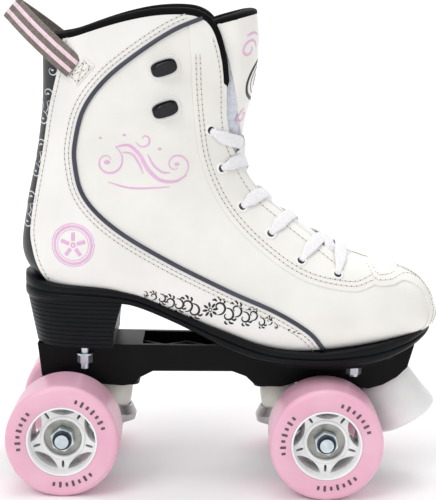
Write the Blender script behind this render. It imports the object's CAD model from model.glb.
import bpy
import bmesh
import math
import numpy as np
from mathutils import Matrix, Vector, geometry


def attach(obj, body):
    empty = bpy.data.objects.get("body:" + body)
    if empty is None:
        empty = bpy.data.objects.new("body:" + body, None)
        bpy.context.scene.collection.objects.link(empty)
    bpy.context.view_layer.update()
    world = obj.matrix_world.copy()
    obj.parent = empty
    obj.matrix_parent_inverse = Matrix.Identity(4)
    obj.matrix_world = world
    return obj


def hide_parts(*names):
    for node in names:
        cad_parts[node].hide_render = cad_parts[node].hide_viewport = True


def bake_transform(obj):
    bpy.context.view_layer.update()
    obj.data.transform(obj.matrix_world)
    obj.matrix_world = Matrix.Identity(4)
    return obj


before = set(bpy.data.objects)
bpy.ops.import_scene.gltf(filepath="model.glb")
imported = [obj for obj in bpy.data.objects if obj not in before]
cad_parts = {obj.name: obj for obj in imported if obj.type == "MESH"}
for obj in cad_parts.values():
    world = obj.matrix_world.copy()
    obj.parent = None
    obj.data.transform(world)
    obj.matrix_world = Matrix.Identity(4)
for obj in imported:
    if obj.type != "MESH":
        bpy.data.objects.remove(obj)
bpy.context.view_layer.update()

mm = 0.001
print("frame loaded")

# Cross-sections of the boot from the toe to above the collar, in millimetres: front or top point,
# back or bottom point, half width, place of the widest line, squareness above and below it.
boot = {
    "sections": [
        ((131.0, 98.4), (130.6, 97.4), 2.0, 0.45, 2.0, 2.0),
        ((130.9, 101.0), (129.4, 94.6), 8.0, 0.45, 2.1, 2.4),
        ((130.2, 104.0), (126.0, 92.5), 15.0, 0.45, 2.2, 2.8),
        ((126.5, 112.5), (118.0, 90.0), 28.0, 0.40, 2.2, 3.4),
        ((119.2, 121.2), (107.0, 88.0), 35.5, 0.36, 2.3, 4.2),
        ((104.0, 128.6), (93.0, 85.5), 41.0, 0.34, 2.4, 4.8),
        ((86.0, 133.2), (75.0, 82.5), 44.0, 0.34, 2.3, 5.0),
        ((68.0, 140.0), (52.0, 80.0), 44.6, 0.34, 2.2, 5.0),
        ((48.5, 151.8), (26.0, 81.5), 42.6, 0.33, 2.1, 5.2),
        ((31.0, 164.6), (-2.0, 91.0), 39.0, 0.32, 2.0, 5.5),
        ((18.6, 177.2), (-33.0, 103.0), 36.0, 0.34, 2.0, 6.0),
        ((11.8, 190.0), (-66.0, 111.5), 34.0, 0.38, 2.0, 6.0),
        ((10.8, 200.0), (-98.0, 114.0), 33.0, 0.42, 2.1, 4.6),
        ((12.4, 211.0), (-117.8, 131.0), 33.0, 0.45, 2.1, 2.6),
        ((14.8, 224.0), (-116.6, 160.0), 33.4, 0.46, 2.2, 2.3),
        ((17.2, 240.0), (-110.6, 192.0), 34.6, 0.48, 2.2, 2.2),
        ((18.8, 256.0), (-107.0, 222.0), 36.4, 0.50, 2.2, 2.2),
        ((19.6, 270.0), (-106.6, 250.0), 38.0, 0.50, 2.2, 2.2),
        ((19.6, 292.0), (-106.6, 284.0), 39.0, 0.50, 2.2, 2.2),
    ],
    "rowsPerSection": 14,
    "halfSteps": 72,
    "leather": 2.2,
    "overlay": 0.85,
    "lining": 3.8,
}
collarLine = [(-107.0, 251.0), (-89.0, 263.0), (-72.0, 269.2), (-56.0, 274.1), (-40.0, 277.4),
              (-25.0, 278.3), (-14.6, 277.2), (-7.4, 272.8), (-3.0, 264.0)]
throatLine = [(-3.0, 264.0), (0.6, 250.0), (2.1, 235.0), (2.6, 217.0), (5.6, 201.5),
              (9.1, 192.8), (15.3, 180.8), (23.6, 170.2), (34.2, 161.5), (46.1, 152.2),
              (59.2, 143.0), (71.0, 134.6)]
pipingLine = [(-12.5, 274.8), (-28.6, 267.9), (-48.2, 255.1), (-67.1, 239.5), (-79.7, 222.7),
              (-84.9, 205.0), (-85.5, 190.0), (-79.7, 170.5), (-61.2, 152.1), (-31.3, 134.6),
              (5.8, 117.3), (32.4, 106.5), (52.1, 95.0), (61.0, 84.5)]
panelBackLine = [(-92.6, 262.0), (-96.1, 243.5), (-101.8, 220.4), (-105.6, 195.9), (-110.1, 170.6),
                 (-112.9, 149.8), (-111.5, 137.9), (-107.4, 126.0), (-99.0, 113.5)]
eyestayLine = [(-20.6, 277.2), (-18.6, 253.4), (-16.7, 221.8), (-11.8, 190.8), (0.7, 164.6),
               (21.2, 142.8), (47.9, 125.3), (76.3, 119.0), (90.3, 121.9)]
toeSeam = [(79.0, 135.6), (84.0, 131.4), (89.8, 122.5), (101.3, 121.7), (109.5, 123.0),
           (119.9, 116.9), (124.6, 105.7), (123.0, 97.5), (118.5, 90.5)]
soleHigh = [(-130.0, 127.0), (-116.0, 122.4), (-107.0, 119.8), (-99.8, 118.7), (-71.4, 117.1),
            (-55.2, 114.6), (-43.1, 111.5), (-27.6, 104.9), (-6.4, 96.5), (15.1, 88.9),
            (28.4, 85.0), (41.7, 83.3), (62.0, 83.6), (76.9, 85.6), (98.8, 89.4), (111.9, 91.8),
            (130.0, 94.8)]
soleLow = [(-130.0, 107.8), (-75.0, 107.8), (-58.0, 107.6), (-47.0, 105.4), (-30.7, 99.1),
           (-14.4, 91.9), (-2.5, 86.4), (10.8, 81.2), (24.1, 77.6), (41.8, 75.9), (60.0, 75.6),
           (80.0, 76.2), (95.0, 78.4), (106.0, 81.6), (116.0, 85.2), (130.0, 91.5)]
footprint = [(-117.5, 0.0), (-115.5, 13.0), (-108.0, 24.0), (-94.0, 30.6), (-75.0, 33.0),
             (-50.0, 33.8), (-20.0, 35.8), (10.0, 40.2), (40.0, 45.2), (66.0, 47.0),
             (90.0, 44.8), (108.0, 36.5), (120.0, 23.5), (126.0, 10.0), (127.2, 0.0)]
eyeletPlaces = [(-6.8, 210.2), (-0.2, 187.3), (12.2, 165.3), (29.1, 150.0), (47.0, 135.5),
                (68.5, 127.8)]
hookPlaces = [(-34.0, 246.6), (-33.2, 222.8)]


# Smooth curve through the points, with the same number of steps between each pair.
def smoothLine(points, steps=12):
    pts = np.array(points, float)
    ends = np.vstack([2 * pts[0] - pts[1], pts, 2 * pts[-1] - pts[-2]])
    out = []
    for i in range(1, len(ends) - 2):
        p0, p1, p2, p3 = ends[i - 1], ends[i], ends[i + 1], ends[i + 2]
        for k in range(steps):
            t = k / steps
            out.append(0.5 * (2 * p1 + (p2 - p0) * t + (2 * p0 - 5 * p1 + 4 * p2 - p3) * t * t
                              + (3 * p1 - p0 - 3 * p2 + p3) * t ** 3))
    out.append(ends[-2])
    return np.array(out)


def evenLine(points, spacing):
    pts = np.asarray(points, float)
    lengths = np.r_[0, np.cumsum(np.linalg.norm(np.diff(pts, axis=0), axis=1))]
    count = max(2, int(round(lengths[-1] / spacing)) + 1)
    at = np.linspace(0, lengths[-1], count)
    return np.stack([np.interp(at, lengths, pts[:, k]) for k in range(pts.shape[1])], axis=1)


def buildSurface():
    rows = []
    for (fx, fz), (bx, bz), half, widest, above, below in boot["sections"]:
        rows.append((fx, fz, bx, bz, half, widest, above, below))
    dense = smoothLine(rows, boot["rowsPerSection"])
    steps = boot["halfSteps"]
    angle = np.linspace(0, math.pi, 721)
    grid = np.zeros((len(dense), 2 * steps + 1, 3))
    for i, (fx, fz, bx, bz, half, widest, above, below) in enumerate(dense):
        length = math.hypot(fx - bx, fz - bz)
        c, s = np.cos(angle), np.sin(angle)
        power = np.where(c >= 0, above, below)
        reach = np.where(c >= 0, length * (1 - widest), length * widest)
        x = length * widest + np.sign(c) * np.abs(c) ** (2 / power) * reach
        y = np.abs(s) ** (2 / power) * half
        run = np.r_[0, np.cumsum(np.hypot(np.diff(x), np.diff(y)))]
        at = np.linspace(0, run[-1], steps + 1)
        x, y = np.interp(at, run, x), np.interp(at, run, y)
        px = bx + (fx - bx) / length * x
        pz = bz + (fz - bz) / length * x
        side = np.stack([px, y, pz], axis=1)
        grid[i, steps:] = side
        grid[i, :steps + 1] = side[::-1] * (1, -1, 1)
    return grid


surface = buildSurface()
rowCount, columnCount = surface.shape[:2]


def surfaceNormals(grid):
    du = np.gradient(grid, axis=0)
    wrapped = np.concatenate([grid[:, -2:-1], grid, grid[:, 1:2]], axis=1)
    dv = np.gradient(wrapped, axis=1)[:, 1:-1]
    normal = np.cross(dv, du)
    size = np.linalg.norm(normal, axis=2, keepdims=True)
    return normal / np.maximum(size, 1e-9)


normals = surfaceNormals(surface)
centre = surface.mean(axis=1, keepdims=True)
if ((surface - centre) * normals).sum(axis=2).mean() < 0:
    normals = -normals


# u in rows, s from -1 (back, near side) through 0 (front) to 1 (back, far side).
def sample(grid, u, s):
    u = np.clip(np.asarray(u, float), 0, rowCount - 1.001)
    v = (np.asarray(s, float) + 1) % 2 / 2 * (columnCount - 1)
    v = np.clip(v, 0, columnCount - 1.001)
    i, j = u.astype(int), v.astype(int)
    fu, fv = (u - i)[..., None], (v - j)[..., None]
    return (grid[i, j] * (1 - fu) * (1 - fv) + grid[i + 1, j] * fu * (1 - fv)
            + grid[i, j + 1] * (1 - fu) * fv + grid[i + 1, j + 1] * fu * fv)


def surfacePoints(u, s, depth=0.0):
    normal = sample(normals, u, s)
    normal /= np.linalg.norm(normal, axis=-1, keepdims=True)
    return sample(surface, u, s) - normal * np.asarray(depth)[..., None], normal


# Row and column of side-view points (x, z) on one side of the boot.
def findOnSurface(points, side):
    half = surface[:, columnCount // 2:] if side > 0 else surface[:, :columnCount // 2 + 1]
    flat = half[:, :, (0, 2)]
    result = []
    for p in np.atleast_2d(points):
        away = ((flat - p) ** 2).sum(axis=2)
        i, j = np.unravel_index(np.argmin(away), away.shape)
        u = float(i)
        s = (j / (columnCount // 2)) * side if side > 0 else (j / (columnCount // 2)) - 1
        step = 1.0 / (columnCount // 2)
        for _ in range(6):
            here = sample(surface, u, s)[[0, 2]]
            gu = (sample(surface, min(u + 0.5, rowCount - 1.01), s)[[0, 2]] - here) * 2
            gs = (sample(surface, u, np.clip(s + step * 0.5, -1, 0.999))[[0, 2]] - here) * 2
            matrix = np.array([gu, gs]).T
            if abs(np.linalg.det(matrix)) < 1e-4:
                break
            move = np.linalg.solve(matrix, p - here)
            u = float(np.clip(u + np.clip(move[0], -1, 1), 0, rowCount - 1.01))
            s = float(s + np.clip(move[1], -1, 1) * step)
            s = min(s, 0.0) if side < 0 else max(s, 0.0)
            s = float(np.clip(s, -1, 1))
        result.append((u, s))
    return np.array(result)


print("boot surface", surface.shape)


def makeObject(name, vertices, faces, material=None, smooth=True):
    mesh = bpy.data.meshes.new(name)
    mesh.from_pydata([tuple(v) for v in vertices], [], [tuple(f) for f in faces])
    piece = bpy.data.objects.new(name, mesh)
    bpy.context.scene.collection.objects.link(piece)
    if material:
        mesh.materials.append(material)
    if smooth:
        mesh.polygons.foreach_set("use_smooth", [True] * len(mesh.polygons))
    return piece


def tidyMesh(piece, merge=0.00002, outward=True):
    work = bmesh.new()
    work.from_mesh(piece.data)
    bmesh.ops.remove_doubles(work, verts=work.verts, dist=merge)
    bmesh.ops.dissolve_degenerate(work, dist=1e-7, edges=work.edges)
    if outward:
        bmesh.ops.recalc_face_normals(work, faces=work.faces)
    work.to_mesh(piece.data)
    work.free()
    piece.data.update()


def applyModifiers(piece):
    depsgraph = bpy.context.evaluated_depsgraph_get()
    depsgraph.update()
    mesh = bpy.data.meshes.new_from_object(piece.evaluated_get(depsgraph))
    piece.modifiers.clear()
    old = piece.data
    piece.data = mesh
    mesh.name = piece.name
    bpy.data.meshes.remove(old)
    return piece


def finishPiece(piece, body, *nodes, slot=None):
    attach(piece, body)
    if nodes:
        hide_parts(*nodes)
    return piece


rowScale, columnScale = 1.9, 130.0      # rough millimetres per row and per half turn


# Leather piece cut to an outline of (row, column) points and laid on the boot.
def patch(name, outline, depth, thickness, material, spacing=3.0, bevel=0.35):
    border = np.array(outline, float)
    flat = border * (rowScale, columnScale)
    keep = np.r_[True, np.linalg.norm(np.diff(flat, axis=0), axis=1) > 0.15]
    flat = flat[keep]
    if np.linalg.norm(flat[0] - flat[-1]) < 0.15:
        flat = flat[:-1]
    low, high = flat.min(axis=0), flat.max(axis=0)
    xs = np.arange(low[0] + spacing / 2, high[0], spacing)
    ys = np.arange(low[1] + spacing / 2, high[1], spacing)
    gx, gy = np.meshgrid(xs, ys)
    inside = np.stack([gx.ravel(), gy.ravel()], axis=1)
    a, b = flat, np.roll(flat, -1, axis=0)
    crossings = np.zeros(len(inside), int)
    nearest = np.full(len(inside), 1e9)
    for p, q in zip(a, b):
        cond = (p[1] > inside[:, 1]) != (q[1] > inside[:, 1])
        slope = (q[0] - p[0]) * (inside[:, 1] - p[1]) / (q[1] - p[1] + 1e-12) + p[0]
        crossings += cond & (inside[:, 0] < slope)
        d = q - p
        t = np.clip(((inside - p) @ d) / (d @ d + 1e-12), 0, 1)
        nearest = np.minimum(nearest, np.linalg.norm(inside - p - t[:, None] * d, axis=1))
    inside = inside[(crossings % 2 == 1) & (nearest > spacing * 0.45)]
    points = [Vector(p) for p in flat] + [Vector(p) for p in inside]
    edges = [(i, (i + 1) % len(flat)) for i in range(len(flat))]
    verts, _, faces, _, _, _ = geometry.delaunay_2d_cdt(points, edges, [], 1, 1e-4)
    uv = np.array([(v.x, v.y) for v in verts]) / (rowScale, columnScale)
    drawn = depth(uv[:, 0], uv[:, 1]) if callable(depth) else np.full(len(uv), depth)
    place, _ = surfacePoints(uv[:, 0], uv[:, 1], drawn)
    piece = makeObject(name, place * mm, faces, material)
    tidyMesh(piece)
    mesh = piece.data
    _, normal = surfacePoints(uv[:1, 0], uv[:1, 1], np.zeros(1))
    nearestFace = min(mesh.polygons, key=lambda f: (f.center - Vector(place[0] * mm)).length)
    if nearestFace.normal.dot(Vector(normal[0])) < 0:
        mesh.flip_normals()
    solid = piece.modifiers.new("wall", "SOLIDIFY")
    solid.thickness = thickness * mm
    solid.offset = -1
    solid.use_even_offset = False
    if bevel:
        edge = piece.modifiers.new("edge", "BEVEL")
        edge.width = bevel * mm
        edge.segments = 3
        edge.limit_method = "ANGLE"
        edge.angle_limit = math.radians(50)
    return applyModifiers(piece)


def sideOutline(line, side, spacing=2.0):
    return findOnSurface(evenLine(smoothLine(line), spacing), side)


print("helpers ready")


def hexColour(code):
    def linear(value):
        value /= 255
        return value / 12.92 if value <= 0.04045 else ((value + 0.055) / 1.055) ** 2.4
    code = code.lstrip("#")
    return tuple(linear(int(code[i:i + 2], 16)) for i in (0, 2, 4)) + (1.0,)


# Adds a node; settings fill its own values or its inputs, links join its inputs to outputs.
def addNode(tree, kind, settings=None, links=None):
    node = tree.nodes.new(kind)
    for key, value in (settings or {}).items():
        if isinstance(key, str) and hasattr(node, key):
            setattr(node, key, value)
        else:
            node.inputs[key].default_value = value
    for key, source in (links or {}).items():
        tree.links.new(source, node.inputs[key])
    return node


def newMaterial(name, roughness=0.5, metallic=0.0, colour="#808080", **settings):
    material = bpy.data.materials.new(name)
    material.use_nodes = True
    tree = material.node_tree
    shader = tree.nodes["Principled BSDF"]
    shader.inputs["Base Color"].default_value = hexColour(colour)
    shader.inputs["Roughness"].default_value = roughness
    shader.inputs["Metallic"].default_value = metallic
    for key, value in settings.items():
        shader.inputs[key.replace("_", " ")].default_value = value
    return material, tree, shader


def objectPlace(tree):
    return addNode(tree, "ShaderNodeTexCoord").outputs["Object"]


# Mixes two close colours by noise; scale is in patches per metre.
def colourSpread(tree, shader, first, second, scale, detail=3.0, low=0.35, high=0.65):
    place = objectPlace(tree)
    noise = addNode(tree, "ShaderNodeTexNoise", {"Scale": scale, "Detail": detail},
                    {"Vector": place})
    ramp = addNode(tree, "ShaderNodeValToRGB", {}, {"Fac": noise.outputs["Fac"]})
    ramp.color_ramp.elements[0].position = low
    ramp.color_ramp.elements[1].position = high
    ramp.color_ramp.elements[0].color = hexColour(first)
    ramp.color_ramp.elements[1].color = hexColour(second)
    tree.links.new(ramp.outputs["Color"], shader.inputs["Base Color"])
    return ramp


def grainBump(tree, shader, height, strength=1.0, millimetres=0.1):
    bump = addNode(tree, "ShaderNodeBump",
                   {"Strength": strength, "Distance": millimetres * mm}, {"Height": height})
    tree.links.new(bump.outputs["Normal"], shader.inputs["Normal"])
    return bump


def leather(name, first, second, roughness, pebble=1.1, depth=0.10, coat=0.12, shine=0.45):
    # Coated side leather: rolled flat, with a fine pebble about 1 mm across and a soft sheen.
    material, tree, shader = newMaterial(name, roughness=roughness, Specular_IOR_Level=shine,
                                         Coat_Weight=coat, Coat_Roughness=0.35)
    colourSpread(tree, shader, first, second, 28.0)
    place = objectPlace(tree)
    cells = addNode(tree, "ShaderNodeTexVoronoi", {"Scale": 1 / (pebble * mm)}, {"Vector": place})
    creases = addNode(tree, "ShaderNodeTexNoise", {"Scale": 90.0, "Detail": 6.0},
                      {"Vector": place})
    height = addNode(tree, "ShaderNodeMath", {"operation": "MULTIPLY_ADD", 1: 0.55},
                     {0: cells.outputs["Distance"], 2: creases.outputs["Fac"]})
    grainBump(tree, shader, height.outputs[0], 0.35, depth)
    return material


def mouldedPlastic(name, first, second, roughness, grit=0.5, depth=0.03, shine=0.5):
    # Nylon or TPR from a spark-eroded mould: fine matt grit that scatters the highlights.
    material, tree, shader = newMaterial(name, roughness=roughness, Specular_IOR_Level=shine)
    colourSpread(tree, shader, first, second, 60.0)
    noise = addNode(tree, "ShaderNodeTexNoise", {"Scale": 1 / (grit * mm), "Detail": 2.0},
                    {"Vector": objectPlace(tree)})
    grainBump(tree, shader, noise.outputs["Fac"], 0.5, depth)
    return material


def plainMetal(name, first, second, roughness, scale=180.0, depth=0.02, metallic=1.0):
    # Plated or cast metal: the colour drifts a little and small dents break the reflections.
    material, tree, shader = newMaterial(name, roughness=roughness, metallic=metallic)
    colourSpread(tree, shader, first, second, scale)
    noise = addNode(tree, "ShaderNodeTexNoise", {"Scale": scale * 6, "Detail": 4.0},
                    {"Vector": objectPlace(tree)})
    grainBump(tree, shader, noise.outputs["Fac"], 0.4, depth)
    return material


def wovenCloth(name, first, second, thread, roughness=0.85, depth=0.15):
    # Plain weave: crossed threads that show as tiny rounded squares.
    material, tree, shader = newMaterial(name, roughness=roughness, Sheen_Weight=0.25,
                                         Sheen_Roughness=0.5)
    place = objectPlace(tree)
    waves = []
    for direction in ("X", "Y", "Z"):
        wave = addNode(tree, "ShaderNodeTexWave",
                       {"bands_direction": direction, "Scale": 0.314 / (thread * mm) / 2,
                        "Distortion": 0.6, "Detail": 1.0}, {"Vector": place})
        waves.append(wave.outputs["Fac"])
    product = addNode(tree, "ShaderNodeMath", {"operation": "MULTIPLY"}, {0: waves[0], 1: waves[2]})
    total = addNode(tree, "ShaderNodeMath", {"operation": "ADD"},
                    {0: product.outputs[0], 1: waves[1]})
    colourSpread(tree, shader, first, second, 1 / (thread * 3 * mm), 2.0)
    grainBump(tree, shader, total.outputs[0], 0.5, depth)
    return material


whiteLeather = leather("coatedLeatherWhite", "#F3F1EC", "#EAE8E3", 0.42)
whiteLeatherCool = leather("coatedLeatherPanel", "#F3F1EE", "#EBE9E6", 0.38)
blackLeather = leather("coatedLeatherBlack", "#0B0D12", "#12151C", 0.4)
bindingLeather = leather("softPuBlack", "#010102", "#040506", 0.75, pebble=0.7, depth=0.14,
                         coat=0.0, shine=0.15)
pipingLeather = leather("pipingPuCharcoal", "#353845", "#40434F", 0.42, pebble=0.8)
liningCloth = wovenCloth("brushedKnitBlack", "#0C0C0E", "#15151A", 0.5)
insoleCloth = wovenCloth("insoleTextileBlack", "#101014", "#1A1A1F", 0.6)
blackMoulding = mouldedPlastic("tprBlack", "#04060A", "#080B10", 0.38, shine=0.18)
blackNylon = mouldedPlastic("glassNylonBlack", "#020304", "#050608", 0.42, shine=0.15)
zincSteel = plainMetal("zincPlatedSteel", "#C4D0D8", "#DCE4E9", 0.34)
castAluminium = plainMetal("tumbledCastAluminium", "#B5B5B6", "#C9C9CA", 0.42, 90.0, 0.06)
bearingSteel = plainMetal("bearingSteel", "#8B8C86", "#A6A6A0", 0.3)
whiteRubber = mouldedPlastic("mouldedRubberWhite", "#ECEDEC", "#F4F4F3", 0.45, 1.2, 0.05)
cushionUrethane = mouldedPlastic("castUrethaneCream", "#DCDED2", "#E8E9E0", 0.38, 2.0, 0.04)
blackUrethane = mouldedPlastic("castUrethaneBlack", "#111214", "#191A1D", 0.5)
whiteNylon = mouldedPlastic("polishedNylonWhite", "#F1F1EF", "#F8F8F7", 0.22, 3.0, 0.02)
print("materials ready")

studio = {
    "cameraPlace": (-0.0016, -0.9358, 0.3066),
    "cameraPitch": -math.degrees(0.1813),
    "cameraRoll": 0.9,
    "lens": 113.465,            # for a frame 36 mm high
    "sensor": 36.0,
}


def buildStudio():
    floorMaterial, tree, shader = newMaterial("matPaperFloor", roughness=0.9, colour="#FFFFFF")
    colourSpread(tree, shader, "#FBFBFB", "#FFFFFF", 4.0)
    size, curve = 3.0, 1.2
    profile = [(-size, 0.0), (1.2, 0.0)]
    profile += [(1.2 + curve * math.sin(t), curve - curve * math.cos(t))
                for t in np.linspace(0.1, math.pi / 2, 12)]
    profile.append((1.2 + curve, 3.5))
    verts = [(x, y, z) for y, z in profile for x in (-size, size)]
    faces = [(2 * i, 2 * i + 1, 2 * i + 3, 2 * i + 2) for i in range(len(profile) - 1)]
    floor = makeObject("studioFloor", verts, faces, floorMaterial)
    world = bpy.data.worlds.new("studioWorld")
    world.use_nodes = True
    world.node_tree.nodes["Background"].inputs[0].default_value = (1, 1, 1, 1)
    world.node_tree.nodes["Background"].inputs[1].default_value = 0.64
    bpy.context.scene.world = world
    boot = (0.0, 0.0, 0.12)
    for name, place, aim, size, power in (
            ("keyLight", (-0.75, -1.0, 1.15), boot, 0.8, 7.0),
            ("fillLight", (1.1, -0.9, 0.7), boot, 1.1, 1.5),
            ("backLight", (0.3, 1.0, 1.3), boot, 1.2, 7.0),
            ("topLight", (-0.1, -0.1, 1.7), boot, 0.8, 5.0),
            ("wallLight", (0.0, 1.1, 1.3), (0.0, 2.3, 0.2), 1.5, 7.0)):
        data = bpy.data.lights.new(name, "AREA")
        data.energy = power
        data.size = size
        lamp = bpy.data.objects.new(name, data)
        lamp.location = place
        lamp.rotation_euler = (Vector(aim) - Vector(place)).to_track_quat("-Z", "Y").to_euler()
        bpy.context.scene.collection.objects.link(lamp)
    data = bpy.data.cameras.new("camera")
    camera = bpy.data.objects.new("camera", data)
    bpy.context.scene.collection.objects.link(camera)
    data.sensor_fit = "AUTO"
    data.sensor_width = studio["sensor"]
    data.lens = studio["lens"]
    pitch = Matrix.Rotation(math.radians(90 + studio["cameraPitch"]), 4, "X")
    roll = Matrix.Rotation(math.radians(studio["cameraRoll"]), 4, "Z")
    camera.matrix_world = Matrix.Translation(studio["cameraPlace"]) @ pitch @ roll
    bpy.context.scene.camera = camera
    scene = bpy.context.scene
    scene.view_settings.view_transform = "Standard"
    scene.view_settings.look = "None"


buildStudio()
print("studio ready")


def spread(value, count):
    return np.full(count, float(value)) if np.isscalar(value) else np.asarray(value, float)


# Closed solid along a line; its section is a rounded box from round (2) to square (8).
def sweep(name, centres, acrosses, outs, width, thick, material, power=2.0, sides=16,
          closed=False):
    centres = np.asarray(centres, float)
    count = len(centres)
    width, thick = spread(width, count) / 2, spread(thick, count) / 2
    angle = np.linspace(0, 2 * math.pi, sides, endpoint=False)
    ca = np.sign(np.cos(angle)) * np.abs(np.cos(angle)) ** (2 / power)
    sa = np.sign(np.sin(angle)) * np.abs(np.sin(angle)) ** (2 / power)
    rings = (centres[:, None] + acrosses[:, None] * (width[:, None] * ca)[..., None]
             + outs[:, None] * (thick[:, None] * sa)[..., None])
    verts = rings.reshape(-1, 3) * mm
    faces = []
    for i in range(count if closed else count - 1):
        k = (i + 1) % count
        for j in range(sides):
            n = (j + 1) % sides
            faces.append((i * sides + j, i * sides + n, k * sides + n, k * sides + j))
    if not closed:
        faces.append(tuple(range(sides))[::-1])
        faces.append(tuple((count - 1) * sides + j for j in range(sides)))
    piece = makeObject(name, verts, faces, material)
    tidyMesh(piece, merge=1e-7)
    return piece


def directions(centres, outs, closed=False):
    along = (np.roll(centres, -1, axis=0) - np.roll(centres, 1, axis=0) if closed
             else np.gradient(centres, axis=0))
    along /= np.maximum(np.linalg.norm(along, axis=1, keepdims=True), 1e-9)
    across = np.cross(along, outs)
    across /= np.maximum(np.linalg.norm(across, axis=1, keepdims=True), 1e-9)
    outs = np.cross(across, along)
    return along, across, outs


def onBoot(line, side, spacing=2.0, depth=0.0, smooth=True):
    points = smoothLine(line) if smooth else np.asarray(line, float)
    found = findOnSurface(evenLine(points, spacing), side)
    return surfacePoints(found[:, 0], found[:, 1], np.full(len(found), depth))


# Band, print or tube that lies on the boot along a side-view line.
def strip(name, line, side, width, thick, material, depth=0.0, spacing=1.5, power=4.0,
          sides=12, taper=False):
    centres, outs = onBoot(line, side, spacing, depth)
    _, across, outs = directions(centres, outs)
    if taper:
        share = np.linspace(0, 1, len(centres))
        width = width * (0.25 + 0.75 * np.sin(math.pi * np.clip(share, 0.02, 0.98)) ** 0.6)
    return sweep(name, centres, across, outs, width, thick, material, power, sides)


# Turned solid: profile is a closed loop of (radius, distance along the axis) in mm.
def revolve(name, profile, place, axis, material, segments=96, smooth=True):
    axis = Vector(axis).normalized()
    side = axis.orthogonal().normalized()
    other = axis.cross(side)
    verts, faces = [], []
    count = len(profile)
    for k in range(segments):
        t = 2 * math.pi * k / segments
        radial = side * math.cos(t) + other * math.sin(t)
        for r, along in profile:
            verts.append((Vector(place) + radial * r + axis * along) * mm)
    for k in range(segments):
        n = (k + 1) % segments
        for j in range(count):
            m = (j + 1) % count
            faces.append((k * count + j, k * count + m, n * count + m, n * count + j))
    piece = makeObject(name, verts, faces, material, smooth)
    tidyMesh(piece, merge=1e-7)
    return piece


def joinPieces(name, pieces):
    work = bmesh.new()
    materials = []
    for piece in pieces:
        start = len(work.faces)
        work.from_mesh(piece.data)
        work.faces.ensure_lookup_table()
        material = piece.data.materials[0]
        if material not in materials:
            materials.append(material)
        for face in work.faces[start:]:
            face.material_index = materials.index(material)
    mesh = bpy.data.meshes.new(name)
    work.to_mesh(mesh)
    work.free()
    for material in materials:
        mesh.materials.append(material)
    for piece in pieces:
        bpy.data.objects.remove(piece)
    whole = bpy.data.objects.new(name, mesh)
    bpy.context.scene.collection.objects.link(whole)
    return whole


stitch = {
    "length": 2.2,
    "gap": 0.8,
    "width": 0.62,
    "height": 0.5,
    "collarGap": 3,             # points left out where the rows pass under the collar binding
}
stitchRows = []


def sew(line, side, depth=-0.15, smooth=True):
    centres, outs = onBoot(line, side, stitch["length"] + stitch["gap"], depth, smooth)
    along, _, outs = directions(centres, outs)
    stitchRows.append((centres, along, outs))


# The same side-view line moved sideways; positive is to the right of its run.
def besideLine(line, distance):
    points = evenLine(smoothLine(line), 3.0)
    along = np.gradient(points, axis=0)
    along /= np.linalg.norm(along, axis=1, keepdims=True)
    return points + np.stack([along[:, 1], -along[:, 0]], axis=1) * distance


def stitchTree():
    tree = bpy.data.node_groups.new("stitchesAlongSeams", "GeometryNodeTree")
    face = tree.interface
    face.new_socket("Geometry", in_out="INPUT", socket_type="NodeSocketGeometry")
    for label, value in (("Stitch length", stitch["length"] * mm),
                         ("Stitch width", stitch["width"] * mm),
                         ("Stitch height", stitch["height"] * mm)):
        socket = face.new_socket(label, in_out="INPUT", socket_type="NodeSocketFloat")
        socket.default_value = value
    face.new_socket("Thread", in_out="INPUT", socket_type="NodeSocketMaterial")
    face.new_socket("Geometry", in_out="OUTPUT", socket_type="NodeSocketGeometry")
    start = tree.nodes.new("NodeGroupInput").outputs
    ball = addNode(tree, "GeometryNodeMeshUVSphere", {"Segments": 8, "Rings": 5, "Radius": 0.5})
    size = addNode(tree, "ShaderNodeCombineXYZ", {}, {"X": start["Stitch length"],
                                                      "Y": start["Stitch width"],
                                                      "Z": start["Stitch height"]})
    shaped = addNode(tree, "GeometryNodeTransform", {},
                     {"Geometry": ball.outputs["Mesh"], "Scale": size.outputs[0]})
    along = addNode(tree, "GeometryNodeInputNamedAttribute", {"data_type": "FLOAT_VECTOR"})
    along.inputs["Name"].default_value = "along"
    outward = addNode(tree, "GeometryNodeInputNamedAttribute", {"data_type": "FLOAT_VECTOR"})
    outward.inputs["Name"].default_value = "outward"
    turned = addNode(tree, "FunctionNodeAlignEulerToVector", {"axis": "Z"},
                     {"Vector": outward.outputs["Attribute"]})
    aimed = addNode(tree, "FunctionNodeAlignEulerToVector", {"axis": "X", "pivot_axis": "Z"},
                    {"Rotation": turned.outputs[0], "Vector": along.outputs["Attribute"]})
    copies = addNode(tree, "GeometryNodeInstanceOnPoints", {},
                     {"Points": start["Geometry"], "Instance": shaped.outputs[0],
                      "Rotation": aimed.outputs[0]})
    real = addNode(tree, "GeometryNodeRealizeInstances", {}, {0: copies.outputs[0]})
    painted = addNode(tree, "GeometryNodeSetMaterial", {},
                      {"Geometry": real.outputs[0], "Material": start["Thread"]})
    end = tree.nodes.new("NodeGroupOutput")
    tree.links.new(painted.outputs[0], end.inputs[0])
    return tree


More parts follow.
